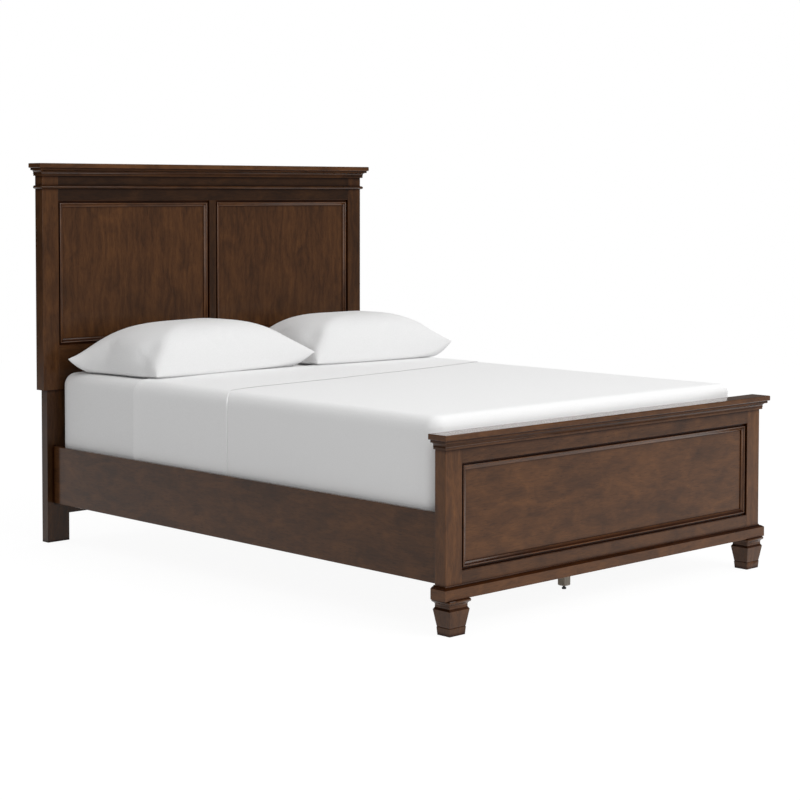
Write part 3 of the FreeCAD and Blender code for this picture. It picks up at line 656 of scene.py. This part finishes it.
def outward(points):
    """The outward direction of that rounded box at points on it."""
    _, edge, corner, _, out = bed_places(points)
    length = np.linalg.norm(out, axis=1)
    plan = out / np.maximum(length, tiny)[:, None]
    up = np.maximum(points[:, 2] - (bed_high.z - edge), 0.0)
    down = np.maximum(bed_low.z + bottom_radius - points[:, 2], 0.0)
    across = np.maximum(length - (corner - edge), 0.0)
    upright = (up <= 0) & (down <= 0)
    across = np.where(upright & (length > slight), 1.0, across)
    across = np.where(down > 0, np.maximum(length - (corner - bottom_radius), 0.0), across)
    direction = np.column_stack([plan * across[:, None], up - down])
    direction[np.linalg.norm(direction, axis=1) < tiny] = (0.0, 0.0, 1.0)
    return direction / np.linalg.norm(direction, axis=1)[:, None]


def mattress_piece(material):
    """The mattress in its fitted cover, softly uneven on top and sides."""
    grid = BoxGrid(*bed_lines(mattress_step))
    for axis in range(3):
        grid.face(axis, False)
        grid.face(axis, True)
    points = rounded(np.array(grid.points))
    above_base = np.clip((points[:, 2] - bed_low.z - even_base) / even_blend, 0, 1)
    rise = cover_unevenness * undulation(points, cover_seed) * above_base
    points += outward(points) * rise[:, None]
    piece = make_object("mattress_form", points, grid.quads)
    piece.data.materials.append(material)
    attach(piece, "mattress")
    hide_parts("mattress")


# The sheet

def hem_line(x):
    """Where the turned-back edge lies, in y: it climbs as it passes over the left edge, and drifts
    towards the head across the bed."""
    share = np.clip((x - bed_low.x) / (bed_high.x - bed_low.x), 0, 1)
    climb = hem_over_edge * (1 - np.exp(-share / hem_edge_share))
    return hem_side_y + climb + hem_slope * share + hem_lift * share ** 4


def lower_offset(points):
    """How far the sheet's lower layer stands off the mattress."""
    return cloth_gap + cloth_unevenness * (undulation(points, cloth_seed) + 1.0)


def sheet_grid():
    """The sheet's lower layer on the mattress's box, and its points along the fold."""
    fold, bottom = sheet_high.y, sheet_low.z
    xs, ys, zs = bed_lines(sheet_step)
    ys = [y for y in ys if y < fold - 2 * fold_side_roll] + [fold]
    zs = [bottom] + [z for z in zs if z > bottom + nearest_lines]
    grid = BoxGrid(xs, ys, zs)
    for axis, at_end in ((0, False), (0, True), (1, False), (2, True)):
        grid.face(axis, at_end)
    last_x, last_y, last_z = grid.last
    rim = [(0, last_y, k) for k in range(last_z)]
    rim += [(i, last_y, last_z) for i in range(last_x)]
    rim += [(last_x, last_y, k) for k in range(last_z, -1, -1)]
    return grid, [grid.index[key] for key in rim]


def layer_distances(run):
    """How far from the fold the turned-back layer's rows lie: close together near the fold and the
    hem, and evenly spread between. Run is the layer's length."""
    near_fold, near_hem = rows_from_fold[-1], rows_to_hem[0]
    hem_rows = [hem_width * (1 + math.cos(math.pi * turn / hem_turns)) / 2 for turn in range(hem_turns + 1)]
    between = int(round((float(run.min()) - close_rows_reach) / sheet_step))
    distances = [np.full(len(run), reach) for reach in rows_from_fold]
    distances += [near_fold + (run - near_fold - near_hem) * (number + 1) / (between + 1)
                  for number in range(between)]
    return distances + [run - reach for reach in (*rows_to_hem, *hem_rows)]


def layer_height(distance, run, roll, on_side):
    """How far the turned-back layer stands off the lower one: it comes down from the fold's roll,
    dips at the hem's stitches, and ends in a cord on the sides and a loose edge on top."""
    left = run - distance
    slope = np.clip(1 - distance / fold_slope, 0, 1)
    height = layer_step + (2 * roll - layer_step) * eased(slope)
    groove = np.clip(1 - np.abs(left - hem_width - stitch_place) / stitch_width, 0, 1)
    height = np.where(left > hem_width, height - stitch_depth * groove * on_side, height)
    across = np.clip(2 * left / hem_width - 1, -1, 1)
    cord = cord_gap + hem_side_height * on_side * np.sqrt(np.maximum(1 - across ** 2, 0))
    cord = np.maximum(cord, (layer_step - stitch_depth) * (across > cord_back_share))
    loose = layer_step + hem_top_lift * np.clip(1 - left / hem_width, 0, 1) ** 2
    return np.where(left <= hem_width, loose + (cord - loose) * on_side, height)


def rows_past_fold(base, away, roll, on_side):
    """Rows of points that go on from the fold: round its roll, then back over the lower layer. Base
    and away are the mattress's points under the fold and the directions outward from them."""
    fold = sheet_high.y
    rows = []
    for turn in np.linspace(0, math.pi, roll_turns + 1)[1:]:
        row = base + away * (lower_offset(base) + roll * (1 - math.cos(turn)))[:, None]
        row[:, 1] = fold - roll + roll * math.sin(turn)
        rows.append(row)
    run = fold - roll - hem_line(base[:, 0])
    for distance in layer_distances(run):
        here = base.copy()
        here[:, 1] = fold - roll - distance
        height = layer_height(distance, run, roll, on_side)
        rows.append(here + away * (lower_offset(here) + height)[:, None])
    return rows


def continued(points, quads, rim, rows):
    """The points and quads of a surface with more rows of points joined on from its rim."""
    vertices, quads = [*points], list(quads)
    previous = rim
    for row in rows:
        current = list(range(len(vertices), len(vertices) + len(rim)))
        vertices += [*row]
        quads += [[previous[n], previous[n + 1], current[n + 1], current[n]] for n in range(len(rim) - 1)]
        previous = current
    return vertices, quads


def sheet_piece(material):
    """The sheet from the foot up to its fold, the soft roll of the fold, and the turned-back
    layer that ends in a hem. It is one surface, given its thickness last."""
    grid, rim = sheet_grid()
    base = rounded(np.array(grid.points))
    away = outward(base)
    points = base + away * lower_offset(base)[:, None]

    # How far up the roll stands: full on the sides, pressed down on top by the pillows
    on_side = 1 - np.clip(away[rim, 2], 0, 1) ** 2
    roll = (fold_top_roll + (fold_side_roll - fold_top_roll) * on_side) / 2
    points[rim, 1] -= roll
    rows = rows_past_fold(base[rim], away[rim], roll, on_side)
    vertices, quads = continued(points, grid.quads, rim, rows)
    piece = make_object("top_sheet_cloth", vertices, quads)
    piece.data.materials.append(material)
    thickness = piece.modifiers.new("cloth", "SOLIDIFY")
    thickness.thickness = cloth_thickness
    thickness.offset = -1
    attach(piece, "mattress")
    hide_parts("top_sheet")


# The pillows

def pillow_size(name, turn):
    """A pillow's place, length and depth, from the box that holds it when it is turned."""
    low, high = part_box(name)
    wide, deep = high.x - low.x, high.y - low.y
    c, s = math.cos(turn), abs(math.sin(turn))
    length = (wide * c - deep * s) / (c * c - s * s)
    depth = (deep * c - wide * s) / (c * c - s * s)
    return (low + high) / 2, low.z, high.z - low.z, length, depth


def pillow_lines(size):
    """Grid lines from -1 to 1 for a side of this size, closer together at both ends."""
    evenly = np.linspace(-1, 1, round(size / pillow_step) + 1)
    return np.sin(evenly * math.pi / 2 * ear_crowding) / math.sin(math.pi / 2 * ear_crowding)


def pillow_ears(name, u, v):
    """The seam's height, which rises to the ears, and how far these reach along and across."""
    seam = np.full_like(u, seam_low)
    shift_x, shift_y = np.zeros_like(u), np.zeros_like(u)
    for (side, end), height in ear_heights[name].items():
        near = np.clip(u * side, 0, 1) * np.clip(v * end, 0, 1)
        reach_x, reach_y = ear_reaches[name][(side, end)]
        seam += (height - seam_low) * near ** ear_powers[side]
        shift_x += reach_x * near ** reach_power
        shift_y += reach_y * near ** reach_power
    return seam, shift_x, shift_y


def end_hollow(u, v, place, width):
    """A soft hollow in both end faces of a pillow, at a place across it."""
    return np.exp(-((v - place) / width) ** 2 - ((np.abs(u) - hollow_u) / hollow_u_width) ** 2)


def placed(x, y, z, turn, middle):
    """Points of a pillow, turned and moved to its place."""
    c, s = math.cos(turn), math.sin(turn)
    return np.stack([x * c - y * s + middle.x, x * s + y * c + middle.y, z], axis=2)


def closed_form(top, under):
    """Points and quads of the grids of a top and an underside, which share their rim."""
    inside = np.zeros(top.shape[:2], bool)
    inside[1:-1, 1:-1] = True
    top_index = np.arange(inside.size).reshape(inside.shape)
    under_index = top_index.copy()
    under_index[inside] = inside.size + np.arange(inside.sum())
    quads = []
    for i in range(inside.shape[0] - 1):
        for j in range(inside.shape[1] - 1):
            corners = [(i, j), (i + 1, j), (i + 1, j + 1), (i, j + 1)]
            quads.append([int(top_index[corner]) for corner in corners])
            quads.append([int(under_index[corner]) for corner in (corners[0], *corners[:0:-1])])
    return np.vstack([top.reshape(-1, 3), under[inside]]), quads


def pillow_form(name):
    """Points and quads of a pillow that is crowned, flat where it lies, with drawn-in sides and
    lifted ears, and the height that it lies at."""
    turn, seed = math.radians(pillow_turns[name]), pillow_seeds[name]
    middle, floor, tall, length, depth = pillow_size(name, turn)
    u, v = np.meshgrid(pillow_lines(length), pillow_lines(depth), indexing="ij")
    end_power = np.where(u < 0, *crown_powers[name])
    fullness = np.sqrt(np.maximum((1 - np.abs(u) ** end_power) * (1 - np.abs(v) ** side_power), 0))
    seam, shift_x, shift_y = pillow_ears(name, u, v)
    ridge = np.exp(-((np.abs(u) - np.abs(v)) / ridge_width) ** 2) * np.abs(u * v) ** ridge_power * fullness
    hollow = sum(strength * end_hollow(u, v, place, width) for place, width, strength in hollows_in_v)
    lean = np.sin(3.1 * u + seed) * np.sin(2.3 * v + 1.7 * seed)
    top = seam + (tall - seam_low - swelling_room) * fullness + ridge_height * ridge - hollow_dip * hollow
    top += pillow_unevenness * lean * fullness
    under = seam * (1 - fullness ** 2) ** under_power
    x = u * (length / 2 - pillow_waist * (1 - v ** 2) * u ** 2) + shift_x
    y = v * (depth / 2 - pillow_waist * (1 - u ** 2) * v ** 2) + shift_y
    top_x = x - np.sign(u) * hollow_depth * hollow
    vertices, quads = closed_form(placed(top_x, y, floor + top, turn, middle),
                                  placed(x, y, floor + under, turn, middle))
    return vertices, quads, floor


def pillow_piece(name, material):
    """A filled pillow. The filling presses its cover out in a short cloth simulation, and what
    would sink below the sheet is then raised onto it."""
    vertices, quads, floor = pillow_form(name)
    piece = make_object(name + "_cushion", vertices, quads)
    swell(piece, vertices)
    over_fold = vertices[:, 1] < sheet_high.y + fold_margin
    lowest = np.where(over_fold, floor + fold_top_roll + rest_gap, floor)
    settled = np.array([vertex.co for vertex in piece.data.vertices])
    settled[:, 2] = np.maximum(settled[:, 2], lowest)
    piece.data.vertices.foreach_set("co", settled.ravel())
    piece.data.update()
    smooth = piece.modifiers.new("smooth", "SUBSURF")
    smooth.levels = 1
    smooth.render_levels = 1
    piece.data.materials.append(material)
    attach(piece, name)
    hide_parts(name)


def swell(piece, start):
    """Lets the filling press the cover out, and keeps each point near where it began."""
    cloth = piece.modifiers.new("cloth", "CLOTH")
    settings = cloth.settings
    settings.quality = 6
    settings.mass = 0.25
    settings.tension_stiffness = 25
    settings.compression_stiffness = 25
    settings.shear_stiffness = 12
    settings.bending_stiffness = 0.6
    settings.use_pressure = True
    settings.uniform_pressure_force = 3.0
    settings.effector_weights.gravity = 0.0
    for frame_number in range(1, swell_frames + 1):
        scene.frame_set(frame_number)
    evaluated = piece.evaluated_get(bpy.context.evaluated_depsgraph_get())
    moved = np.array([vertex.co for vertex in evaluated.data.vertices])
    piece.modifiers.remove(cloth)
    scene.frame_set(1)
    step = moved - start
    size = np.linalg.norm(step, axis=1)
    step *= (np.minimum(size, swell_cap) / np.maximum(size, tiny))[:, None]
    piece.data.vertices.foreach_set("co", (start + step).ravel())
    piece.data.update()


def build_bedding():
    """The mattress, the sheet and both pillows in white cotton: one for the mattress, one for the sheet and
    one that both pillows share.
    """
    mattress_piece(cotton("mattress_cotton", 0.83, 0.87, thread=0.0006, crease=0.004))
    sheet_piece(cotton("sheet_cotton", 0.87, 0.91, thread=0.0005, crease=0.003))
    pillow_cloth = cotton("pillow_cotton", 0.80, 0.84, thread=0.00045, crease=0.002)
    for name in pillow_turns:
        pillow_piece(name, pillow_cloth)


# Camera, light and floor

def build_camera():
    """The photo's camera, tilted down a little, with its frame shifted off the lens's middle."""
    data = bpy.data.cameras.new("camera")
    data.lens = camera_lens
    data.sensor_width = 36.0
    data.shift_x, data.shift_y = camera_shift
    data.clip_end = 200.0
    camera = bpy.data.objects.new("camera", data)
    camera.location = camera_place
    camera.rotation_euler = (math.radians(90 - camera_down), 0.0, math.radians(camera_heading - 90))
    scene.collection.objects.link(camera)
    scene.camera = camera


def area_light(name, place, size, watts):
    """A square lamp that faces the bed."""
    data = bpy.data.lights.new(name, "AREA")
    data.shape = "SQUARE"
    data.size = size
    data.energy = watts
    light = bpy.data.objects.new(name, data)
    light.location = place
    light.rotation_euler = (Vector(lamp_target) - Vector(place)).to_track_quat("-Z", "Y").to_euler()
    scene.collection.objects.link(light)


def ray_kinds(tree):
    """One for a ray from the camera or through glass, and one for a mirrored ray."""
    path = add(tree, "ShaderNodeLightPath").outputs
    seen = maths(tree, "ADD", path["Is Camera Ray"], path["Is Transmission Ray"], clamp=True)
    return seen, path["Is Glossy Ray"]


def mirrored_wall(tree, way):
    """The brightness that mirrored rays find along a direction: a wall that is paler in front of the
    bed and darkens overhead, with a bright window in front of the bed's left side."""
    parts = separated(tree, way)
    wall = weighted(tree, wall_strength, (parts["Y"], -wall_contrast))
    ceiling = maths(tree, "MULTIPLY_ADD", parts["Z"], -ceiling_fade, 1.0, clamp=True)
    facing = add(tree, "ShaderNodeVectorMath", {0: way, 1: window_way},
                 operation="DOT_PRODUCT").outputs["Value"]
    window = maths(tree, "POWER", maths(tree, "MAXIMUM", facing, 0.0), window_focus)
    return weighted(tree, maths(tree, "MULTIPLY", wall, ceiling), (window, window_strength))


def build_world():
    """Even soft light from a white studio, strongest overhead."""
    world = bpy.data.worlds.new("studio")
    scene.world = world
    world.use_nodes = True
    tree = world.node_tree
    tree.nodes.clear()
    output = tree.nodes.new("ShaderNodeOutputWorld")
    seen, glossy = ray_kinds(tree)
    way = add(tree, "ShaderNodeTexCoord").outputs["Generated"]
    parts = separated(tree, way)
    above = maths(tree, "MAXIMUM", parts["Z"], 0.0)
    dome = weighted(tree, dome_low, (above, dome_rise), (parts["X"], dome_side))
    strength = blended(tree, seen, blended(tree, glossy, dome, mirrored_wall(tree, way)), 1.0)
    background = add(tree, "ShaderNodeBackground", {"Color": (*grey(1.0), 1.0), "Strength": strength})
    tree.links.new(background.outputs[0], output.inputs["Surface"])


def build_floor():
    """A pale matte floor, seen as the white background wherever the bed's shadow doesn't fall."""
    bpy.ops.mesh.primitive_circle_add(vertices=96, radius=floor_radius, fill_type="NGON",
                                      location=(0, 0, -floor_drop))
    floor = bpy.context.object
    floor.name = "floor"
    material, tree, output = new_material("pale_floor")

    def diffuse(level):
        return add(tree, "ShaderNodeBsdfDiffuse", {"Color": (*grey(level), 1.0)}).outputs[0]

    def emission(strength):
        return add(tree, "ShaderNodeEmission", {"Color": (*grey(1.0), 1.0),
                                                "Strength": strength}).outputs[0]

    def mixed(share, first, second):
        return add(tree, "ShaderNodeMixShader", {0: share, 1: first, 2: second}).outputs[0]

    def faded(share, places):
        return ramp(tree, share, [(places[0], grey(0.0)), (places[1], grey(1.0))])

    place = object_place(tree)
    distance = add(tree, "ShaderNodeVectorMath", {0: place}, operation="LENGTH").outputs["Value"]
    way = add(tree, "ShaderNodeVectorMath", {0: place}, operation="NORMALIZE").outputs["Vector"]
    share = maths(tree, "DIVIDE", distance, floor_fade)
    near = add(tree, "ShaderNodeAddShader", {0: diffuse(floor_shadow), 1: emission(floor_glow)}).outputs[0]
    shown = mixed(faded(share, plain_shares), near, emission(1.0))
    mirrored = emission(blended(tree, faded(share, mirror_shares), 1.0, mirrored_wall(tree, way)))
    seen, glossy = ray_kinds(tree)
    surface = mixed(glossy, mixed(seen, diffuse(floor_matte), shown), mirrored)
    tree.links.new(surface, output.inputs["Surface"])
    floor.data.materials.append(material)


finish_wood()
finish_hidden()
for piece_name in wood_grain:
    soften_edges(nodes[piece_name])
build_bedding()
build_camera()
build_world()
build_floor()
area_light("key", key_place, key_size, key_watts)
area_light("fill", fill_place, fill_size, fill_watts)

scene.view_settings.view_transform = "Standard"
